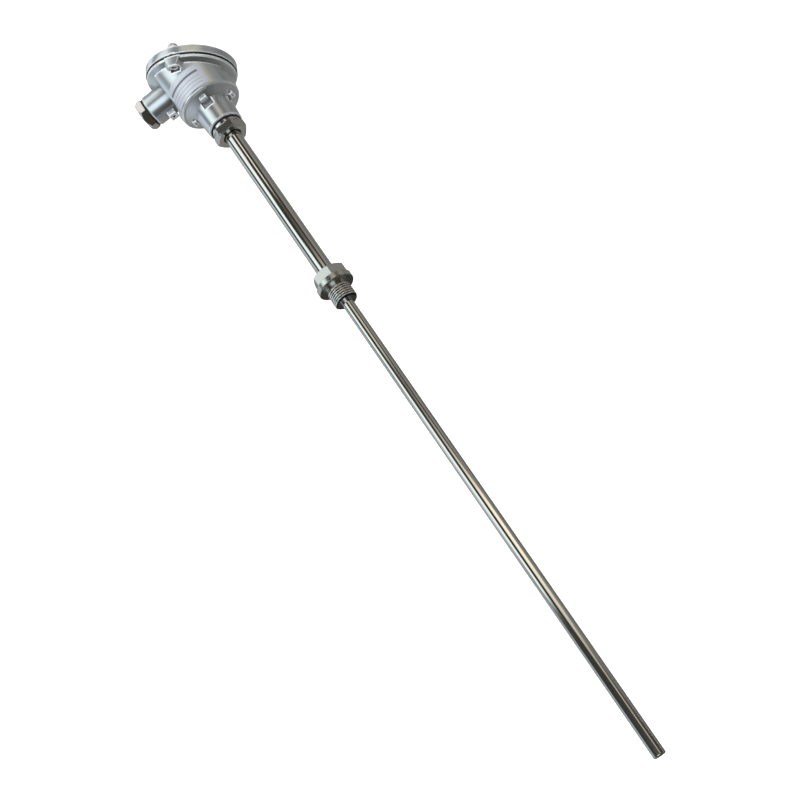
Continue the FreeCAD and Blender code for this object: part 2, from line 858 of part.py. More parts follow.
os.makedirs("parts", exist_ok=True)
for name, make in PIECES.items():
    shape = make()
    shape.exportStep(f"parts/{name}.step")
    state = "valid" if shape.isValid() else "NOT VALID"
    print(name, len(shape.Solids), "solids", round(shape.Volume), "mm3", state)
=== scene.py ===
"""Looks of a screw-in industrial thermometer, laid out as an add-on.

The packed model is the fixed frame. This file gives its pieces their finishes, cuts the thread on the
process fitting, turns the hexagons, evens the lid's shading, adds the gasket's lip, winds the insert's
springs and sets up the studio. Sizes are in metres, in the model's own frame: +X runs to the probe's tip,
the cable entry points to -Y, and +Z is up.
"""
import json
import math
import typing

import bmesh
import bpy
from mathutils import Matrix, Vector


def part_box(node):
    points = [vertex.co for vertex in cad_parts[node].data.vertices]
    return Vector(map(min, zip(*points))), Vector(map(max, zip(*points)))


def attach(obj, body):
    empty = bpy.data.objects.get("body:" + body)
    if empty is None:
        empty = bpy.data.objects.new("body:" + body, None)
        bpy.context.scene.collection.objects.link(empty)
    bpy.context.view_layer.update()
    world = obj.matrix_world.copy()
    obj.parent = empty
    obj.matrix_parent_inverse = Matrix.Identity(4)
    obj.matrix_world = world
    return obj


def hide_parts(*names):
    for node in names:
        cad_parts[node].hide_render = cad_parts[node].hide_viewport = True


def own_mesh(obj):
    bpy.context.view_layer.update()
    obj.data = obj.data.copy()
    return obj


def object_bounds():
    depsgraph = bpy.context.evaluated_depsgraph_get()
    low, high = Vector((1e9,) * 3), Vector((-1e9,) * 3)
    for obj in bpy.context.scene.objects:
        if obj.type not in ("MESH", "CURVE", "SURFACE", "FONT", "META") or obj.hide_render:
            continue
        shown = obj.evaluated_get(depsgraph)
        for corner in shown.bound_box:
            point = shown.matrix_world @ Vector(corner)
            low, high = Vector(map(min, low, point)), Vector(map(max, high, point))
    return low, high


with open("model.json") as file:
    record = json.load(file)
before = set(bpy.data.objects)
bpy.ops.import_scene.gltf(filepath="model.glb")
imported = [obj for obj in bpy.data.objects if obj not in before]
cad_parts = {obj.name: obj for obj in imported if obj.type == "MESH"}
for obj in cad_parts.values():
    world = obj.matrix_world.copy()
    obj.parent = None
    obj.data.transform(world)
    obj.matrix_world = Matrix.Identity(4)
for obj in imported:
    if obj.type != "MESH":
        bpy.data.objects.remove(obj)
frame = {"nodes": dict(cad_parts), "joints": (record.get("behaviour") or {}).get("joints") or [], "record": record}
model_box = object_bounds()

bl_info = {
    "name": "Industrial thermometer looks",
    "version": (1, 0, 0),
    "blender": (4, 5, 0),
    "location": "View3D > Sidebar > Thermometer",
    "description": "Finishes, thread, springs and studio for a screw-in thermometer",
    "category": "Object",
}

MM = 0.001
FULL_TURN = 2 * math.pi
QUARTER_TURN = 90
SAME_PLACE = 1e-7
SOFT_SAMPLES = 8
EDGE_SAMPLES = 12
SHARP_ANGLE = math.radians(24)
SPRING_SHARP_ANGLE = math.radians(50)
LIP_SHARP_ANGLE = math.radians(60)

mounts = {mount["name"]: mount for mount in frame["record"]["mounts"]}
thread_mount = mounts["process_thread"]
thread_radius = thread_mount["dims"]["r_mm"] * MM
thread_start = thread_mount["pos_m"][0] - thread_mount["dims"]["length_mm"] * MM / 2
thread_end = thread_mount["pos_m"][0] + thread_mount["dims"]["length_mm"] * MM / 2
joints = {joint["name"]: joint for joint in frame["joints"]}


def colour_property(name, description, default):
    """A colour that a user would change."""
    return bpy.props.FloatVectorProperty(
        name=name, description=description, default=default, subtype="COLOR", size=3, min=0, max=1)


def share_property(name, description, default):
    """A number from 0 to 1."""
    return bpy.props.FloatProperty(name=name, description=description, default=default, min=0, max=1,
                                   subtype="FACTOR")


def level_property(name, description, default):
    """The colour of a light, which may be brighter than white."""
    return bpy.props.FloatVectorProperty(
        name=name, description=description, default=default, subtype="COLOR", size=3, min=0, max=4)


def length_property(name, description, default):
    """A length in metres."""
    return bpy.props.FloatProperty(name=name, description=description, default=default, unit="LENGTH",
                                   precision=5)


class HeadLook(bpy.types.PropertyGroup):
    """Colours and grain of the cast head, its label and its seals, with the highlight and shade painted on its
    lacquer.
    """
    lacquer: colour_property("Lacquer", "Silver lacquer on the head and lid", (0.68, 0.71, 0.73))
    # Painted highlight: a near-white colour put on the lacquer along outer edges, where rounded edges catch the
    # lights.
    painted_edge_highlight: colour_property("Bright edge", "Lacquer where it is thin along edges", (0.94, 0.96, 0.97))
    lacquer_metal: share_property("Lacquer metal", "How far the lacquer mirrors as metal does", 0.96)
    lacquer_roughness: share_property("Lacquer roughness", "Sheen of the lacquer", 0.286)
    lacquer_grain: length_property("Lacquer grain", "Width of the casting's fine unevenness", 0.0011)
    rounding: length_property("Edge rounding", "Radius that softens the casting's edges", 0.0009)
    # How far the painted edge highlight reaches in from an edge.
    edge_highlight_reach: length_property("Edge reach", "How far the thin lacquer reaches in from an edge", 0.0015)
    # Painted shade: the lacquer's colour is darkened in inner corners, where shade falls.
    painted_corner_shade: share_property("Corner shade", "How dark the lacquer stays in inner corners", 0.4)
    painted_shade_reach: length_property("Corner reach", "How far a corner's shade reaches", 0.012)
    rubber: colour_property("Rubber", "Gasket and seals", (0.018, 0.018, 0.018))
    foil: colour_property("Label foil", "Matt silver foil of the label", (0.60, 0.63, 0.69))
    ruling: colour_property("Label ruling", "Ruled blank fields on the label", (0.10, 0.10, 0.12))


class MetalLook(bpy.types.PropertyGroup):
    """Colours and polish of the bare metal outside, and the shade and highlight painted on the thread."""
    tube: colour_property("Tube", "Polished stainless tube", (0.64, 0.63, 0.60))
    tube_roughness: share_property("Tube roughness", "Polish of the tubes", 0.07)
    turned: colour_property("Turned steel", "Fitting, gland and clamp ring", (0.62, 0.61, 0.58))
    turned_roughness: share_property("Turned roughness", "Sheen of turned steel", 0.23)
    gland_roughness: share_property("Gland roughness", "Sheen of the gland on the neck", 0.14)
    turning_mark: length_property("Turning marks", "Spacing of the fine marks left by the tool", 0.00025)
    # Painted shade: a near-black colour put deep in the thread's grooves, where shade falls.
    painted_groove_shade: colour_property("Groove", "Oil-dark steel deep in the thread", (0.02, 0.019, 0.016))
    groove_shade_reach: length_property("Groove reach", "Depth in the thread where the steel is darkest", 0.00085)
    # Painted highlight: a near-white colour put on the thread's ridges, where they catch the lights.
    crest: colour_property("Crest", "Bright steel on the thread's ridges", (1.0, 0.98, 0.94))
    crest_highlight_reach: length_property("Crest reach", "Depth down to which the thread is bright", 0.00035)
    rounding: length_property("Edge rounding", "Radius that softens turned edges", 0.00035)
    nickel: colour_property("Nickel", "Plated plug in the cable entry", (0.66, 0.62, 0.58))
    screw: colour_property("Screw steel", "Bright screws and springs", (0.82, 0.82, 0.81))


class InsertLook(bpy.types.PropertyGroup):
    """Colours of what lies under the lid."""
    sheath: colour_property("Insert steel", "Dull drawn steel of the insert", (0.52, 0.51, 0.49))
    resin: colour_property("Potting resin", "Resin that closes the insert", (0.10, 0.06, 0.05))
    ceramic: colour_property("Ceramic", "Terminal block", (0.83, 0.81, 0.76))
    brass: colour_property("Plated brass", "Terminal clamps and their screws", (0.72, 0.68, 0.58))
    wire: colour_property("Lead wire", "Tinned copper leads", (0.72, 0.66, 0.58))


class ThreadShape(bpy.types.PropertyGroup):
    """Shape of the thread on the process fitting."""
    pitch: length_property("Pitch", "Distance from one ridge to the next", 0.0022)
    depth: length_property("Depth", "Height of a ridge", 0.00125)
    crest: share_property("Crest", "Flat share of the ridge at its top", 0.22)
    cut: length_property("Cut", "Where the thread takes over from the plain relief", 0.0018)
    rows: bpy.props.IntProperty(name="Rows", description="Rows of faces in one pitch", default=18, min=6)
    columns: bpy.props.IntProperty(name="Columns", description="Faces round the thread", default=96, min=24)


class HexagonTurn(bpy.types.PropertyGroup):
    """How far the hexagons are screwed round."""
    plug: bpy.props.FloatProperty(name="Plug", description="Turn of the plug in the cable entry",
                                  default=math.radians(-14), subtype="ANGLE")
    gland: bpy.props.FloatProperty(name="Gland", description="Turn of the gland on the neck",
                                   default=math.radians(-9), subtype="ANGLE")


class LipShape(bpy.types.PropertyGroup):
    """Shape of the gasket's squeezed-out lip."""
    root: length_property("Root", "How far the lip starts inside the gasket", 0.0002)
    stand: length_property("Stand", "How far the lip stands out of the gasket", 0.00105)
    rise: length_property("Rise", "How far the lip climbs the lid's edge", 0.0006)
    drop: length_property("Drop", "How far the lip hangs over the rim", 0.0003)
    columns: bpy.props.IntProperty(name="Columns", description="Faces round the lip", default=160, min=24)
    sides: bpy.props.IntProperty(name="Sides", description="Faces over the lip's round", default=10, min=4)


class SpringShape(bpy.types.PropertyGroup):
    """Shape of the springs under the insert's screws."""
    wire: length_property("Wire", "Diameter of the spring wire", 0.0008)
    turns: bpy.props.FloatProperty(name="Turns", description="Turns of one spring", default=5)
    steps: bpy.props.IntProperty(name="Steps", description="Sections in one turn", default=24, min=8)
    sides: bpy.props.IntProperty(name="Sides", description="Faces round the wire", default=10, min=6)


class StudioLook(bpy.types.PropertyGroup):
    """Floor, light and camera."""
    floor: colour_property("Floor", "Plain white floor", (0.92, 0.92, 0.92))
    floor_size: length_property("Floor size", "Side of the square floor", 8.0)
    floor_gap: length_property("Floor gap", "Room between the floor and the lowest point", 0.10)
    floor_glow: share_property("Floor glow", "Light added where camera and mirrors see the floor", 0.5)
    under_first: length_property("Under card start", "Where the card below starts, behind the head", -3.0)
    under_last: length_property("Under card end", "Where the card below ends, past the tip", 3.0)
    under_width: length_property("Under card width", "Width of the card below", 3.0)
    # Painted shadow: the dark middle of the card below, seen only in mirrors, stands in for the object's shadow on
    # the floor.
    painted_head_shadow: colour_property("Under the head", "Card right below the head", (0.28, 0.28, 0.27))
    painted_probe_shadow: colour_property("Under the probe", "Card below the fitting and probe", (0.05, 0.05, 0.045))
    near_left: colour_property("Near left", "Card close by on the cable entry's side", (0.66, 0.73, 0.77))
    far_left: colour_property("Far left", "Card far off on the cable entry's side", (0.33, 0.38, 0.41))
    near_right: colour_property("Near right", "Card close by on the other side", (0.26, 0.26, 0.25))
    far_right: colour_property("Far right", "Card far off on the other side", (0.19, 0.19, 0.18))
    pale: level_property("Pale floor", "Card far behind the cable entry's side", (1.12, 1.2, 1.28))
    room: colour_property("Room", "Dim sides of the studio", (0.06, 0.057, 0.048))
    back: level_property("Back", "Studio behind the head", (1.0, 1.06, 1.1))
    overhead: level_property("Overhead", "Cool light far above the probe", (1.2, 1.35, 1.45))
    card_distance: length_property("Card distance", "From the probe's axis to the light cards", 2.0)
    card_soft: length_property("Card fade", "Width of the fading long edges of a light card", 0.26)
    white_card: level_property("White card", "Long card over the cable entry's side", (1.3, 1.45, 1.45))
    cream: level_property("Cream card", "Warm light above the probe", (1.55, 1.42, 1.17))
    warm_strip: level_property("Warm strip", "Narrow warm card above the neck", (1.5, 1.38, 1.18))
    side_card: level_property("Side card", "Cool card beside the cable entry", (0.55, 0.67, 0.76))
    entry_card: level_property("Entry card", "Small card close above the cable entry", (1.15, 1.17, 1.16))
    pale_side: level_property("Pale side", "Pale card beside the middle of the probe", (0.85, 0.87, 0.93))
    dim_card: level_property("Dim card", "Dim card on the far side", (0.32, 0.32, 0.31))
    dark_card: level_property("Dark card", "Black card that cuts the white one off", (0.045, 0.045, 0.04))
    key_level: bpy.props.FloatProperty(name="Key light", description="Level of the soft main light",
                                       default=2.2, min=0)
    key_spread: bpy.props.FloatProperty(name="Key spread", description="How wide the main light is",
                                        default=math.radians(60), subtype="ANGLE")
    key_from: bpy.props.FloatVectorProperty(name="Key direction", description="Where the main light stands",
                                            default=(-0.1, -0.25, 0.96), subtype="DIRECTION", size=3)
    camera_place: bpy.props.FloatVectorProperty(name="Camera place", description="Where the camera stands",
                                                default=(0.539127, 0.111585, 1.021554), unit="LENGTH",
                                                subtype="TRANSLATION", size=3)
    camera_turn: bpy.props.FloatVectorProperty(name="Camera turn", description="Which way the camera looks",
                                               default=(0.261932, 0.316671, 0.988959), unit="ROTATION",
                                               subtype="EULER", size=3)
    camera_lens: bpy.props.FloatProperty(name="Lens", description="Focal length in millimetres",
                                         default=63.0, unit="CAMERA", min=1)


class Wire:
    """A socket of a shader tree. Python's operators on it add Math nodes."""

    def __init__(self, tree, socket):
        self.tree = tree
        self.socket = socket

    def out(self, name):
        """Another output of the same node."""
        return Wire(self.tree, self.socket.node.outputs[name])

    def __add__(self, other):
        return self.tree.math("ADD", self, other)

    def __radd__(self, other):
        return self.tree.math("ADD", other, self)

    def __sub__(self, other):
        return self.tree.math("SUBTRACT", self, other)

    def __rsub__(self, other):
        return self.tree.math("SUBTRACT", other, self)

    def __mul__(self, other):
        return self.tree.math("MULTIPLY", self, other)

    def __rmul__(self, other):
        return self.tree.math("MULTIPLY", other, self)

    def __truediv__(self, other):
        return self.tree.math("DIVIDE", self, other)

    def __rtruediv__(self, other):
        return self.tree.math("DIVIDE", other, self)

    def __pow__(self, other):
        return self.tree.math("POWER", self, other)

    def __abs__(self):
        return self.tree.math("ABSOLUTE", self)


class ShaderTree:
    """The nodes of a material or of the world."""

    def __init__(self, owner):
        owner.use_nodes = True
        self.tree = owner.node_tree
        self.tree.nodes.clear()

    def node(self, kind, settings=None, sockets=None, output=0):
        """Adds a node: its settings first, then the values or links of its sockets."""
        made = self.tree.nodes.new(kind)
        for name, value in (settings or {}).items():
            if name == "stops":
                self.set_stops(made.color_ramp, value)
            else:
                setattr(made, name, value)
        for key, value in (sockets or {}).items():
            if isinstance(value, Wire):
                self.tree.links.new(value.socket, made.inputs[key])
            else:
                made.inputs[key].default_value = value
        return Wire(self, made.outputs[output]) if made.outputs else None

    def set_stops(self, ramp, stops):
        """Gives a colour ramp its stops, each a place from 0 to 1 and a colour."""
        while len(ramp.elements) < len(stops):
            ramp.elements.new(1)
        for element, (place, colour) in zip(ramp.elements, stops):
            element.position = place
            element.color = opaque(colour)

    def math(self, operation, *values):
        """One Math node."""
        return self.node("ShaderNodeMath", {"operation": operation}, dict(enumerate(values)))

    def step(self, value, low, high):
        """0 below low, 1 above high and a smooth rise between."""
        return self.node("ShaderNodeMapRange", {"interpolation_type": "SMOOTHSTEP"},
                         {"Value": value, "From Min": low, "From Max": high})

    def band(self, value, low, high, soft):
        """1 between low and high, with soft ends inside them."""
        return self.step(value, low, low + soft) * (1 - self.step(value, high - soft, high))

    def along(self, value, levels):
        """A level that changes along a value, from pairs of the value and its level."""
        first, last = levels[0][0], levels[-1][0]
        stops = [((place - first) / (last - first), (level,) * 3) for place, level in levels]
        return self.node("ShaderNodeValToRGB", {"stops": stops}, {0: (value - first) / (last - first)})

    def mix(self, share, first, second):
        """A colour between two colours."""
        return self.node("ShaderNodeMix", {"data_type": "RGBA"}, {0: share, 6: first, 7: second}, output=2)

    def place(self):
        """The place on the piece, in the model's frame."""
        return self.node("ShaderNodeTexCoord").out("Object")

    def axes(self, vector):
        """X, Y and Z of a vector."""
        parts = self.node("ShaderNodeSeparateXYZ", None, {0: vector})
        return parts, parts.out("Y"), parts.out("Z")

    def vector(self, x, y, z):
        """A vector from three values."""
        return self.node("ShaderNodeCombineXYZ", None, {0: x, 1: y, 2: z})

    def noise(self, vector, width, detail=2.0):
        """Smooth unevenness whose lumps are about that wide."""
        return self.node("ShaderNodeTexNoise", None,
                         {"Vector": vector, "Scale": 1 / width, "Detail": detail})

    def varied(self, level, spread, pattern):
        """A level that a pattern from 0 to 1 moves up and down."""
        return level - spread / 2 + pattern * spread

    def rounded(self, radius):
        """Surface direction with edges softened to that radius."""
        return self.node("ShaderNodeBevel", {"samples": SOFT_SAMPLES}, {"Radius": radius})

    def edge(self, reach, low, high):
        """1 along outer edges, where a look into the body soon meets another face."""
        depth = self.node("ShaderNodeAmbientOcclusion",
                          {"samples": EDGE_SAMPLES, "inside": True, "only_local": True},
                          {"Distance": reach}, output="AO")
        return self.step(1 - depth, low, high)

    def corner(self, reach, low, high):
        """1 in inner corners and grooves, where other faces stand close."""
        openness = self.node("ShaderNodeAmbientOcclusion", {"samples": SOFT_SAMPLES},
                             {"Distance": reach}, output="AO")
        return 1 - self.step(openness, low, high)

    def bump(self, height, depth, strength, normal):
        """Surface direction with a fine relief of that depth."""
        return self.node("ShaderNodeBump", None,
                         {"Strength": strength, "Distance": depth, "Height": height, "Normal": normal})

    def glow(self, colour):
        """A plain emission."""
        return self.node("ShaderNodeEmission", None, {"Color": colour, "Strength": 1.0})

    def finish(self, shader):
        """Wires a shader to the material's output."""
        self.node("ShaderNodeOutputMaterial", None, {"Surface": shader})

    def surface(self, **sockets):
        """A principled surface wired to the output. Underscores stand for spaces in socket names."""
        named = {name.replace("_", " "): value for name, value in sockets.items()}
        self.finish(self.node("ShaderNodeBsdfPrincipled", None, named))


def opaque(colour):
    """A colour with its alpha."""
    return (*colour, 1.0)


def shaded(colour, level):
    """A colour made darker or lighter."""
    return tuple(min(1.0, channel * level) for channel in colour)


def finish_for(name):
    """A new material, named for a slot or a card, and its tree."""
    material = bpy.data.materials.new(name)
    return material, ShaderTree(material)


def give_finish(slot, material):
    """Puts a material on the nodes that the record lists for a slot."""
    for subpart in frame["record"]["subparts"]:
        if subpart["material_slot"] == slot:
            piece = frame["nodes"][subpart["node"]]
            piece.data.materials.clear()
            piece.data.materials.append(material)


def take_finish(piece, node):
    """Gives a new piece the material of the node that it stands for."""
    piece.data.materials.append(frame["nodes"][node].data.materials[0])


CLOUD_WIDTH = 0.012
CLOUD_LEVELS = (0.95, 1.04)
FINE_DETAIL = 3.0
GRAIN_DEPTH = 0.000006
GRAIN_STRENGTH = 0.5
LACQUER_SPREAD = 0.012
# Where the painted edge highlight starts and where it is full.
EDGE_HIGHLIGHT_RANGE = (0.04, 0.17)
# Where the painted corner shade starts and where it is full.
CORNER_SHADE_RANGE = (0.35, 0.9)


def silver_lacquer(look):
    """Satin silver lacquer over a casting's faint unevenness, with painted highlights on edges and painted shade
    in corners.
    """
    material, tree = finish_for("head_paint")
    place = tree.place()
    cloud = tree.noise(place, CLOUD_WIDTH)
    grain = tree.noise(place, look.lacquer_grain, FINE_DETAIL)
    edge = tree.edge(look.edge_highlight_reach, *EDGE_HIGHLIGHT_RANGE)
    # The corner mask paints shade into the lacquer where other faces stand close.
    corner = tree.corner(look.painted_shade_reach, *CORNER_SHADE_RANGE)
    dull, clear = (opaque(shaded(look.lacquer, level)) for level in CLOUD_LEVELS)
    dark = opaque(shaded(look.lacquer, look.painted_corner_shade))
    lacquer = tree.mix(corner, tree.mix(cloud, dull, clear), dark)
    # The edge mask paints a near-white highlight, with no metal, along outer edges.
    tree.surface(Base_Color=tree.mix(edge, lacquer, opaque(look.painted_edge_highlight)),
                 Metallic=look.lacquer_metal * (1 - edge),
                 Roughness=tree.varied(look.lacquer_roughness, LACQUER_SPREAD, grain),
                 Normal=tree.bump(grain, GRAIN_DEPTH, GRAIN_STRENGTH, tree.rounded(look.rounding)),
                 Coat_Weight=0.25, Coat_Roughness=0.12)
    return material


RUBBER_GRAIN = 0.0008
RUBBER_ROUGHNESS = 0.625
RUBBER_SPREAD = 0.15


def black_rubber(look):
    """Matt black rubber."""
    material, tree = finish_for("black_rubber")
    grain = tree.noise(tree.place(), RUBBER_GRAIN)
    tree.surface(Base_Color=opaque(look.rubber), Specular_IOR_Level=0.35,
                 Roughness=tree.varied(RUBBER_ROUGHNESS, RUBBER_SPREAD, grain))
    return material


LINE_HALF = 0.0003
BAR_HALF = 0.0011
FIELDS = ((0.3, BAR_HALF), (0.52, LINE_HALF), (0.68, LINE_HALF), (0.84, LINE_HALF))
FIELD_MARGINS = (0.08, 0.1)
FIELD_FADE = 0.01
INK_SHARE = 0.85


def label_foil(look):
    """Matt silver foil with a header bar and ruled blank fields."""
    material, tree = finish_for("label_foil")
    low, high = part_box("name_plate")
    x, y, z = tree.axes(tree.place())
    first = math.atan2(low.y, low.z) + FIELD_MARGINS[0]
    last = math.atan2(high.y, high.z) - FIELD_MARGINS[1]
    inside = tree.band(tree.math("ARCTAN2", y, z), first, last, FIELD_FADE)
    lines = 0
    for share, half in FIELDS:
        height = low.x + share * (high.x - low.x)
        lines = lines + tree.band(x, height - half, height + half, LINE_HALF)
    colour = tree.mix(lines * inside * INK_SHARE, opaque(look.foil), opaque(look.ruling))
    tree.surface(Base_Color=colour, Metallic=0.35, Roughness=0.42)
    return material


def plated_nickel(look):
    """Bright nickel plate."""
    material, tree = finish_for("plug_nickel")
    tree.surface(Base_Color=opaque(look.nickel), Metallic=1.0, Roughness=0.14,
                 Normal=tree.rounded(look.rounding))
    return material


THREAD_FADE = 0.001
THREAD_CORE = (0.0018, 0.0014)
GLAND_END = (-0.1, -0.05)
MARK_DEPTH = 0.000002
MARK_STRENGTH = 0.6
TURNED_SPREAD = 0.02


def turned_steel(look):
    """Steel with turning rings about the X axis; painted shade in the thread's grooves, painted highlight on its
    ridges.
    """
    material, tree = finish_for("turned_steel")
    x, y, z = tree.axes(tree.place())
    radius = (y * y + z * z) ** 0.5
    rings = tree.noise(tree.vector(x, radius, 0), look.turning_mark)
    thread = tree.step(x, thread_start - THREAD_FADE, thread_start)
    outside = tree.step(radius, *(thread_radius - depth for depth in THREAD_CORE))
    # By radius, paints shade deep in the thread and a highlight on its ridges.
    crest = tree.step(radius, thread_radius - look.groove_shade_reach, thread_radius - look.crest_highlight_reach)
    ridges = tree.mix(crest, opaque(look.painted_groove_shade), opaque(look.crest))
    gland = 1 - tree.step(x, *GLAND_END)
    sheen = look.turned_roughness + gland * (look.gland_roughness - look.turned_roughness)
    tree.surface(Base_Color=tree.mix(thread * outside, opaque(look.turned), ridges), Metallic=1.0,
                 Roughness=tree.varied(sheen, TURNED_SPREAD, rings),
                 Normal=tree.bump(rings, MARK_DEPTH, MARK_STRENGTH, tree.rounded(look.rounding)))
    return material


STREAK_STRETCH = 0.02
STREAK_WIDTH = 0.0009
STREAK_SPREAD = 0.04


def polished_tube(look):
    """Polished stainless tube with faint lines along its length."""
    material, tree = finish_for("polished_tube")
    x, y, z = tree.axes(tree.place())
    streaks = tree.noise(tree.vector(x * STREAK_STRETCH, y, z), STREAK_WIDTH)
    tree.surface(Base_Color=opaque(look.tube), Metallic=1.0,
                 Roughness=tree.varied(look.tube_roughness, STREAK_SPREAD, streaks))
    return material


def bright_screw(look):
    """Bright steel of the screws and springs."""
    material, tree = finish_for("screw_steel")
    tree.surface(Base_Color=opaque(look.screw), Metallic=1.0, Roughness=0.28,
                 Normal=tree.rounded(look.rounding))
    return material


PLAIN_GRAIN = 0.002
PLAIN_SPREAD = 0.1


def plain_finish(slot, colour, metal, roughness):
    """An even finish with a faint change of sheen."""
    material, tree = finish_for(slot)
    grain = tree.noise(tree.place(), PLAIN_GRAIN)
    tree.surface(Base_Color=opaque(colour), Metallic=metal,
                 Roughness=tree.varied(roughness, PLAIN_SPREAD, grain))
    return material


def thread_height(look, x, turn):
    """Radius of the thread at a place along the axis and a turn round it."""
    root = thread_radius - look.depth
    phase = (x / look.pitch - turn / FULL_TURN) % 1.0
    rise = 1 - abs(2 * phase - 1)
    ridge = min(1.0, rise / (1 - look.crest))
    start_slope = root + max(0.0, x - thread_start + look.depth)
    end_slope = thread_radius - max(0.0, x - thread_end)
    return min(root + look.depth * ridge, max(start_slope, root), end_slope)


def ring_of(mesh, x, radii):
    """A closed ring of vertices, one for each radius."""
    count = len(radii)
    ring = []
    for column, radius in enumerate(radii):
        turn = FULL_TURN * column / count
        ring.append(mesh.verts.new((x, radius * math.cos(turn), radius * math.sin(turn))))
    return ring


def join_rings(mesh, first, second):
    """Faces between two rings of the same count."""
    count = len(first)
    for column in range(count):
        after = (column + 1) % count
        mesh.faces.new((first[column], second[column], second[after], first[after]))


def ring_edges(ring):
    """The edges of a closed ring."""
    edges = []
    for vertex, after in zip(ring, ring[1:] + ring[:1]):
        edges.append(next(e for e in vertex.link_edges if e.other_vert(vertex) is after))
    return edges


def smooth_piece(name, mesh, sharp_angle):
    """A new object from a bmesh, smooth apart from its sharp edges."""
    for face in mesh.faces:
        face.smooth = True
    for edge in mesh.edges:
        edge.smooth = edge.is_manifold and edge.calc_face_angle() < sharp_angle
    data = bpy.data.meshes.new(name)
    mesh.to_mesh(data)
    mesh.free()
    stored_normals = data.attributes.get("custom_normal")
    if stored_normals:
        data.attributes.remove(stored_normals)
    piece = bpy.data.objects.new(name, data)
    bpy.context.scene.collection.objects.link(piece)
    return piece


def mesh_of(node):
    """A working copy of a node's mesh, with the vertices that share a place joined."""
    mesh = bmesh.new()
    mesh.from_mesh(frame["nodes"][node].data)
    bmesh.ops.remove_doubles(mesh, verts=mesh.verts, dist=SAME_PLACE)
    return mesh


def threaded_fitting(look):
    """The process fitting with its thread cut as a ridge that winds round it."""
    mesh = mesh_of("process_fitting")
    everything = mesh.verts[:] + mesh.edges[:] + mesh.faces[:]
    bmesh.ops.bisect_plane(mesh, geom=everything, plane_co=(look.cut, 0, 0), plane_no=(1, 0, 0),
                           clear_outer=True)
    rim = [edge for edge in mesh.edges if edge.is_boundary]
    middle = (thread_radius + min(math.hypot(v.co.y, v.co.z) for e in rim for v in e.verts)) / 2
    outer_rim = [e for e in rim if math.hypot(e.verts[0].co.y, e.verts[0].co.z) > middle]
    inner_rim = [e for e in rim if e not in outer_rim]
    bore = math.hypot(inner_rim[0].verts[0].co.y, inner_rim[0].verts[0].co.z)
    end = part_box("process_fitting")[1].x
    count = math.ceil((end - look.cut) / (look.pitch / look.rows))
    rings = []
    for row in range(1, count + 1):
        x = look.cut + (end - look.cut) * row / count
        radii = [thread_height(look, x, FULL_TURN * c / look.columns) for c in range(look.columns)]
        rings.append(ring_of(mesh, x, radii))
    rings.append(ring_of(mesh, end, [bore] * look.columns))
    rings.append(ring_of(mesh, (look.cut + end) / 2, [bore] * look.columns))
    for first, second in zip(rings, rings[1:]):
        join_rings(mesh, first, second)
    bmesh.ops.bridge_loops(mesh, edges=outer_rim + ring_edges(rings[0]))
    bmesh.ops.bridge_loops(mesh, edges=inner_rim + ring_edges(rings[-1]))
    bmesh.ops.recalc_face_normals(mesh, faces=mesh.faces)
    return smooth_piece("threaded_fitting", mesh, SHARP_ANGLE)


def islands_of(node):
    """The separate bodies in a node's mesh, each as its lowest and highest corner."""
    mesh = mesh_of(node)
    left = set(mesh.verts)
    boxes = []
    while left:
        reached = [left.pop()]
        for vertex in reached:
            for edge in vertex.link_edges:
                other = edge.other_vert(vertex)
                if other in left:
                    left.remove(other)
                    reached.append(other)
        low = Vector(map(min, *(v.co for v in reached)))
        high = Vector(map(max, *(v.co for v in reached)))
        boxes.append((low, high))
    mesh.free()
    return sorted(boxes, key=lambda box: tuple(box[0]))


def add_spring(mesh, look, low, high):
    """Winds one spring inside a box, along X."""
    coil = (high.y - low.y - look.wire) / 2
    centre = (low + high) / 2
    length = high.x - low.x - look.wire
    count = int(look.turns * look.steps)
    rise = length / (look.turns * FULL_TURN * coil)
    rings = []
    for index in range(count + 1):
        turn = FULL_TURN * index / look.steps
        out = Vector((0, math.cos(turn), math.sin(turn)))
        along = Vector((rise, -math.sin(turn), math.cos(turn))).normalized()
        across = along.cross(out)
        middle = Vector((low.x + look.wire / 2 + length * index / count, centre.y, centre.z)) + coil * out
        ring = []
        for side in range(look.sides):
            angle = FULL_TURN * side / look.sides
            offset = (math.cos(angle) * out + math.sin(angle) * across) * look.wire / 2
            ring.append(mesh.verts.new(middle + offset))
        rings.append(ring)
    for first, second in zip(rings, rings[1:]):
        join_rings(mesh, first, second)
    mesh.faces.new(rings[0])
    mesh.faces.new(rings[-1])


def insert_springs(look):
    """The two springs that press the insert to the probe's tip."""
    mesh = bmesh.new()
    for low, high in islands_of("insert_springs"):
        add_spring(mesh, look, low, high)
    bmesh.ops.recalc_face_normals(mesh, faces=mesh.faces)
    return smooth_piece("insert_coils", mesh, SPRING_SHARP_ANGLE)


def screwed_round(node, axis, angle):
    """A copy of a screwed-in piece, turned about an axis through its middle."""
    low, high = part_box(node)
    middle = (low + high) / 2
    turn = Matrix.Translation(middle) @ Matrix.Rotation(angle, 4, axis) @ Matrix.Translation(-middle)
    mesh = mesh_of(node)
    bmesh.ops.transform(mesh, matrix=turn, verts=mesh.verts)
    return smooth_piece(f"tight_{node}", mesh, SHARP_ANGLE)


def even_lid():
    """A copy of the lid that is shaded evenly over its crown."""
    return smooth_piece("even_lid", mesh_of("lid"), SHARP_ANGLE)


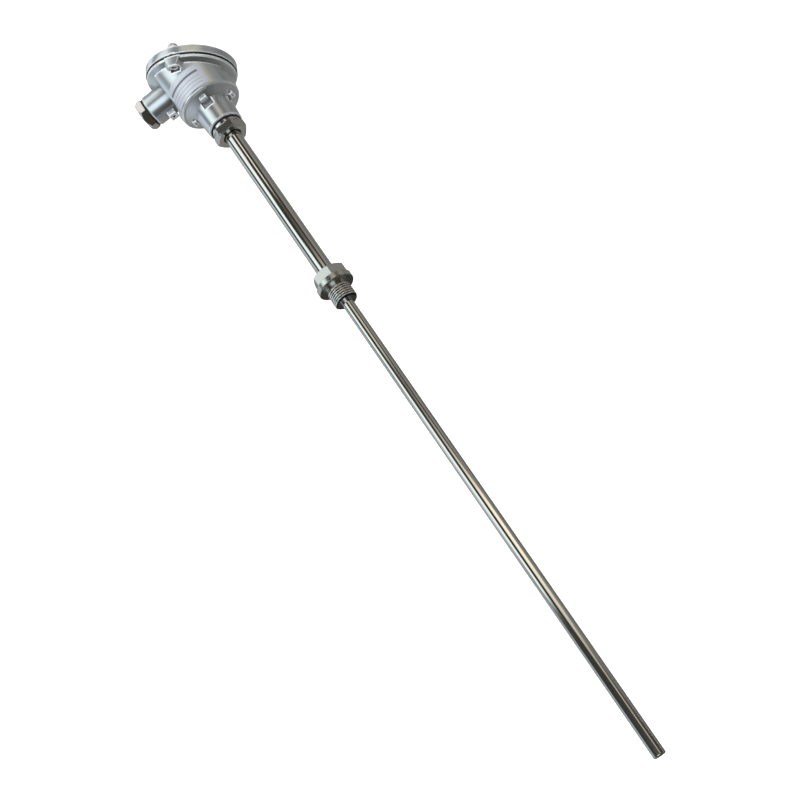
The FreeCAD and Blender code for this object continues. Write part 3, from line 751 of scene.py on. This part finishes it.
def gasket_lip(look):
    """The rubber lip that the lid squeezes out of its joint, as a ring about the lid's own axis."""
    axis = Vector(joints["lid_lift"]["axis"]).normalized()
    up = Vector((0, 0, 1))
    side = up.cross(axis)
    corners = [v.co for v in frame["nodes"]["lid_gasket"].data.vertices]
    reach = {}
    for name, way in (("axis", axis), ("up", up), ("side", side)):
        spread = [corner.dot(way) for corner in corners]
        reach[name] = (min(spread), max(spread))
    bottom, top = reach["axis"]
    radius = (reach["up"][1] - reach["up"][0]) / 2
    centre = up * sum(reach["up"]) / 2 + side * sum(reach["side"]) / 2
    middle = (bottom - look.drop + top + look.rise) / 2
    half = (top + look.rise - bottom + look.drop) / 2
    mesh = bmesh.new()
    rings = []
    for index in range(look.sides + 1):
        angle = math.pi * (index / look.sides - 0.5)
        out = radius - look.root + (look.root + look.stand) * math.cos(angle) ** 0.5
        along = middle + half * math.sin(angle)
        ring = []
        for column in range(look.columns):
            turn = FULL_TURN * column / look.columns
            way = math.cos(turn) * up + math.sin(turn) * side
            ring.append(mesh.verts.new(centre + axis * along + way * out))
        rings.append(ring)
    for first, second in zip(rings, rings[1:] + rings[:1]):
        join_rings(mesh, first, second)
    bmesh.ops.recalc_face_normals(mesh, faces=mesh.faces)
    return smooth_piece("gasket_lip", mesh, LIP_SHARP_ANGLE)


def sheet(name, x_range, y_range, height):
    """A flat rectangle with a material of its own, and that material's tree."""
    first, last = x_range
    near, far = y_range
    data = bpy.data.meshes.new(name)
    corners = [(first, near, height), (last, near, height), (last, far, height), (first, far, height)]
    data.from_pydata(corners, [], [(0, 1, 2, 3)])
    material, tree = finish_for(name)
    data.materials.append(material)
    piece = bpy.data.objects.new(name, data)
    bpy.context.scene.collection.objects.link(piece)
    return piece, tree


def white_floor(look):
    """A wide white floor below the object. It takes the shadow."""
    reach = (-look.floor_size / 2, look.floor_size / 2)
    floor, tree = sheet("studio_floor", reach, reach, model_box[0].z - look.floor_gap)
    path = tree.node("ShaderNodeLightPath")
    seen = path.out("Is Camera Ray") + path.out("Is Glossy Ray") + path.out("Is Transmission Ray")
    glow = tree.mix(seen, opaque((0, 0, 0)), opaque((look.floor_glow,) * 3))
    tree.surface(Base_Color=opaque(look.floor), Roughness=0.9, Specular_IOR_Level=0.0,
                 Emission_Color=glow, Emission_Strength=1.0)


# Stops across the card below; its dark middle is a painted shadow under the head.
UNDER_STOPS = ((-0.5, "far_left"), (-0.2, "near_left"), (-0.07, "painted_head_shadow"), (0.03, "painted_head_shadow"),
               (0.1, "near_right"), (0.6, "far_right"))
PROBE_SHADE_START = (-0.1, 0.06)
PROBE_SHADE_SIDE = (0.02, 0.2)
PALE_END = (-0.6, -0.4)
PALE_SIDE = (-0.3, -0.05)


def under_card(look):
    """A glowing card under the object that only mirrors see: pale beside it, a painted shadow below it, dimmer far
    off.
    """
    half = look.under_width / 2
    card, tree = sheet("under_card", (look.under_first, look.under_last), (-half, half),
                       model_box[0].z - look.floor_gap / 2)
    x, y, z = tree.axes(tree.place())
    stops = [(0.5 + side / look.under_width, getattr(look, name)) for side, name in UNDER_STOPS]
    across = tree.node("ShaderNodeValToRGB", {"stops": stops}, {0: 0.5 + y / look.under_width})
    # The darkest part, under the fitting and probe, is a painted shadow.
    shade = (1 - tree.step(abs(y), *PROBE_SHADE_SIDE)) * tree.step(x, *PROBE_SHADE_START)
    shaded_card = tree.mix(shade, across, opaque(look.painted_probe_shadow))
    pale = (1 - tree.step(x, *PALE_END)) * (1 - tree.step(y, *PALE_SIDE))
    tree.finish(tree.glow(tree.mix(pale, shaded_card, opaque(look.pale))))
    mirror_only(card)


ENTRY_CARD_LENGTH = (-0.85, -0.36)
ENTRY_CARD_SIDE = (-0.17, -0.072)
ENTRY_CARD_HEIGHT = 0.315


def entry_card(look):
    """A small glowing card close above the cable entry, which only mirrors see."""
    card, tree = sheet("entry_card", ENTRY_CARD_LENGTH, ENTRY_CARD_SIDE, ENTRY_CARD_HEIGHT)
    tree.finish(tree.glow(opaque(look.entry_card)))
    mirror_only(card)


class LightCard(typing.NamedTuple):
    """A glowing card beside the probe's axis: its turn and spread round X in degrees, its ends along X."""
    name: str
    level: str
    turn: float
    spread: float
    first: float
    last: float
    fade: float
    closeness: float = 1


CARDS = (
    LightCard("white_strip", "white_card", turn=128, spread=44, first=-3.2, last=-1.0, fade=0.08),
    LightCard("probe_strip", "white_card", turn=137, spread=43, first=-1.08, last=-0.08, fade=0.08),
    LightCard("pale_side", "pale_side", turn=178, spread=50, first=-0.8, last=-0.15, fade=0.2,
              closeness=0.98),
    LightCard("warm_strip", "warm_strip", turn=67, spread=20, first=-1.68, last=-1.33, fade=0.1),
    LightCard("side_card", "side_card", turn=184, spread=34, first=-3.2, last=1.0, fade=0.4),
    LightCard("dim_card", "dim_card", turn=2, spread=62, first=-3.2, last=0.3, fade=0.4),
    LightCard("dark_card", "dark_card", turn=103, spread=34, first=-1.33, last=-1.12, fade=0.05,
              closeness=0.95),
)


def light_card(look, card):
    """Hangs one card at its turn round the X axis, facing the axis. Its glow fades out at the edges."""
    distance = look.card_distance * card.closeness
    turn = math.radians(card.turn)
    half_length = (card.last - card.first) / 2
    half_width = distance * math.tan(math.radians(card.spread) / 2)
    hung, tree = sheet(card.name, (-half_length, half_length), (-half_width, half_width), 0)
    x, y, z = tree.axes(tree.place())
    inside = tree.band(x, -half_length, half_length, card.fade) * tree.band(
        y, -half_width, half_width, look.card_soft)
    clear = tree.node("ShaderNodeBsdfTransparent")
    glow = tree.glow(opaque(getattr(look, card.level)))
    tree.finish(tree.node("ShaderNodeMixShader", None, {0: inside, 1: clear, 2: glow}))
    hung.location = ((card.first + card.last) / 2, distance * math.cos(turn), distance * math.sin(turn))
    hung.rotation_euler = (turn + math.pi / 2, 0, 0)
    mirror_only(hung)


def mirror_only(card):
    """Hides a card from everything but reflections."""
    card.visible_camera = False
    card.visible_diffuse = False
    card.visible_shadow = False
    card.visible_transmission = False


CREAM_LEVELS = ((-0.53, 0), (-0.495, 0.06), (-0.475, 0.5), (-0.415, 0.55), (-0.4, 0.1), (-0.37, 0.15),
                (-0.325, 0.6), (-0.285, 1), (-0.25, 1), (-0.2, 0.6), (-0.16, 0.35), (-0.09, 0.35),
                (-0.04, 0))
CREAM_LOW = ((-0.53, 0.52), (-0.33, 0.52), (-0.29, 0.25), (-0.21, 0.25), (-0.15, 0.45), (-0.04, 0.5))
CREAM_HIGH = ((-0.53, 0.94), (-0.21, 0.94), (-0.15, 0.8), (-0.04, 0.77))
CREAM_FADE = 9
BACK_END = (-0.78, -0.62)
BACK_RISE = (0.12, 0.4)
OVERHEAD_TURN = (66, 130)
OVERHEAD_FADE = 16
OVERHEAD_START = (-0.1, 0.05)
OVERHEAD_END = (0.52, 0.72)


def studio_world(look):
    """White to the camera. To the object it is a dim room, lighter behind the head and overhead."""
    world = bpy.data.worlds.new("studio")
    tree = ShaderTree(world)
    x, y, z = tree.axes(tree.node("ShaderNodeTexCoord").out("Generated"))
    turn = tree.math("ARCTAN2", z, y) * math.degrees(1)
    behind = (1 - tree.step(x, *BACK_END)) * tree.step(z, *BACK_RISE)
    overhead = (tree.band(turn, *OVERHEAD_TURN, OVERHEAD_FADE) * tree.step(x, *OVERHEAD_START)
                * (1 - tree.step(x, *OVERHEAD_END)))
    cream_low = QUARTER_TURN * tree.along(x, CREAM_LOW)
    cream_high = QUARTER_TURN * tree.along(x, CREAM_HIGH)
    cream = tree.band(turn, cream_low, cream_high, CREAM_FADE) * tree.along(x, CREAM_LEVELS)
    with_back = tree.mix(behind, opaque(look.room), opaque(look.back))
    with_cream = tree.mix(cream, with_back, opaque(look.cream))
    with_overhead = tree.mix(overhead, with_cream, opaque(look.overhead))
    path = tree.node("ShaderNodeLightPath")
    seen = path.out("Is Camera Ray") + path.out("Is Transmission Ray")
    colour = tree.mix(seen, with_overhead, opaque((1.0, 1.0, 1.0)))
    background = tree.node("ShaderNodeBackground", None, {"Color": colour, "Strength": 1.0})
    tree.node("ShaderNodeOutputWorld", None, {"Surface": background})
    bpy.context.scene.world = world


def key_light(look):
    """One wide soft light from above the head."""
    lamp = bpy.data.lights.new("key_light", "SUN")
    lamp.energy = look.key_level
    lamp.angle = look.key_spread
    light = bpy.data.objects.new("key_light", lamp)
    light.rotation_euler = Vector(look.key_from).to_track_quat("Z", "Y").to_euler()
    light.visible_glossy = False
    bpy.context.scene.collection.objects.link(light)


def photo_camera(look):
    """The camera at the photograph's viewing angle."""
    lens = bpy.data.cameras.new("photo_camera")
    lens.lens = look.camera_lens
    camera = bpy.data.objects.new("photo_camera", lens)
    camera.location = look.camera_place
    camera.rotation_euler = look.camera_turn
    bpy.context.scene.collection.objects.link(camera)
    bpy.context.scene.camera = camera


class FinishHead(bpy.types.Operator):
    """Lacquers the head and lid, with painted edge highlights and corner shade, and finishes the label and seals
    """
    bl_idname = "thermometer.finish_head"
    bl_label = "Finish head"

    def execute(self, context):
        look = context.scene.thermometer_head
        give_finish("head_paint", silver_lacquer(look))
        give_finish("black_rubber", black_rubber(look))
        give_finish("label_foil", label_foil(look))
        return {"FINISHED"}


class FinishMetal(bpy.types.Operator):
    """Finishes the tubes, fittings, plug and screws, with painted shade and highlights on the thread"""
    bl_idname = "thermometer.finish_metal"
    bl_label = "Finish metal"

    def execute(self, context):
        look = context.scene.thermometer_metal
        give_finish("plug_nickel", plated_nickel(look))
        give_finish("turned_steel", turned_steel(look))
        give_finish("polished_tube", polished_tube(look))
        give_finish("screw_steel", bright_screw(look))
        return {"FINISHED"}


class FinishInsert(bpy.types.Operator):
    """Finishes the measuring insert and its terminals"""
    bl_idname = "thermometer.finish_insert"
    bl_label = "Finish insert"

    def execute(self, context):
        look = context.scene.thermometer_insert
        give_finish("insert_steel",
                    plain_finish("insert_steel", look.sheath, metal=1.0, roughness=0.35))
        give_finish("potting_resin",
                    plain_finish("potting_resin", look.resin, metal=0.0, roughness=0.6))
        give_finish("block_ceramic",
                    plain_finish("block_ceramic", look.ceramic, metal=0.0, roughness=0.5))
        give_finish("terminal_brass",
                    plain_finish("terminal_brass", look.brass, metal=1.0, roughness=0.28))
        give_finish("lead_wire",
                    plain_finish("lead_wire", look.wire, metal=1.0, roughness=0.3))
        return {"FINISHED"}


class CutThread(bpy.types.Operator):
    """Cuts the thread on the process fitting"""
    bl_idname = "thermometer.cut_thread"
    bl_label = "Cut thread"

    def execute(self, context):
        piece = threaded_fitting(context.scene.thermometer_thread)
        take_finish(piece, "process_fitting")
        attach(piece, "head_and_stem")
        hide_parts("process_fitting")
        return {"FINISHED"}


class TurnHexagons(bpy.types.Operator):
    """Screws the plug and the gland round to where their flats stand"""
    bl_idname = "thermometer.turn_hexagons"
    bl_label = "Turn hexagons"

    def execute(self, context):
        look = context.scene.thermometer_hexagons
        for node, axis, angle, slot in (("blanking_plug", "Y", look.plug, "plug_nickel"),
                                        ("gland_screw", "X", look.gland, "turned_steel")):
            piece = screwed_round(node, axis, angle)
            take_finish(piece, node)
            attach(piece, "head_and_stem")
            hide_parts(node)
        return {"FINISHED"}


class EvenLid(bpy.types.Operator):
    """Evens the shading of the lid's crown"""
    bl_idname = "thermometer.even_lid"
    bl_label = "Even lid"

    def execute(self, context):
        piece = even_lid()
        take_finish(piece, "lid")
        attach(piece, "lid")
        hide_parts("lid")
        return {"FINISHED"}


class AddGasketLip(bpy.types.Operator):
    """Adds the lip of the lid's gasket"""
    bl_idname = "thermometer.add_gasket_lip"
    bl_label = "Add gasket lip"

    def execute(self, context):
        piece = gasket_lip(context.scene.thermometer_lip)
        take_finish(piece, "lid_gasket")
        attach(piece, "lid")
        return {"FINISHED"}


class WindSprings(bpy.types.Operator):
    """Winds the springs of the insert"""
    bl_idname = "thermometer.wind_springs"
    bl_label = "Wind springs"

    def execute(self, context):
        piece = insert_springs(context.scene.thermometer_springs)
        take_finish(piece, "insert_springs")
        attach(piece, "head_and_stem")
        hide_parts("insert_springs")
        travel = joints["insert_travel"]
        fixed_end = travel["deforming_nodes"][0]["fixed_end_x_m"]
        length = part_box("insert_springs")[1].x - fixed_end
        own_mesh(piece)
        return {"FINISHED"}


class SetStage(bpy.types.Operator):
    """Sets the floor, light and camera"""
    bl_idname = "thermometer.set_stage"
    bl_label = "Set stage"

    def execute(self, context):
        look = context.scene.thermometer_studio
        context.scene.view_settings.view_transform = "Standard"
        white_floor(look)
        under_card(look)
        entry_card(look)
        for card in CARDS:
            light_card(look, card)
        studio_world(look)
        key_light(look)
        photo_camera(look)
        return {"FINISHED"}


LOOKS = {
    "thermometer_head": HeadLook,
    "thermometer_metal": MetalLook,
    "thermometer_insert": InsertLook,
    "thermometer_thread": ThreadShape,
    "thermometer_hexagons": HexagonTurn,
    "thermometer_lip": LipShape,
    "thermometer_springs": SpringShape,
    "thermometer_studio": StudioLook,
}
OPERATORS = (FinishHead, FinishMetal, FinishInsert, CutThread, TurnHexagons, EvenLid, AddGasketLip,
             WindSprings, SetStage)


class ThermometerPanel(bpy.types.Panel):
    """Lists the steps and their settings"""
    bl_idname = "VIEW3D_PT_thermometer"
    bl_label = "Thermometer"
    bl_space_type = "VIEW_3D"
    bl_region_type = "UI"
    bl_category = "Thermometer"

    def draw(self, context):
        for operator in OPERATORS:
            self.layout.operator(operator.bl_idname)
        for name, group in LOOKS.items():
            box = self.layout.box()
            box.label(text=group.__doc__)
            for setting in group.__annotations__:
                box.prop(getattr(context.scene, name), setting)


CLASSES = (*LOOKS.values(), *OPERATORS, ThermometerPanel)


def register():
    """Adds the classes and their settings."""
    for item in CLASSES:
        bpy.utils.register_class(item)
    for name, group in LOOKS.items():
        setattr(bpy.types.Scene, name, bpy.props.PointerProperty(type=group))


def unregister():
    """Takes them away again."""
    for name in LOOKS:
        delattr(bpy.types.Scene, name)
    for item in reversed(CLASSES):
        bpy.utils.unregister_class(item)


def main():
    """Runs every step in order."""
    register()
    bpy.ops.thermometer.finish_head()
    bpy.ops.thermometer.finish_metal()
    bpy.ops.thermometer.finish_insert()
    bpy.ops.thermometer.cut_thread()
    bpy.ops.thermometer.turn_hexagons()
    bpy.ops.thermometer.even_lid()
    bpy.ops.thermometer.add_gasket_lip()
    bpy.ops.thermometer.wind_springs()
    bpy.ops.thermometer.set_stage()


if __name__ == "__main__":
    main()
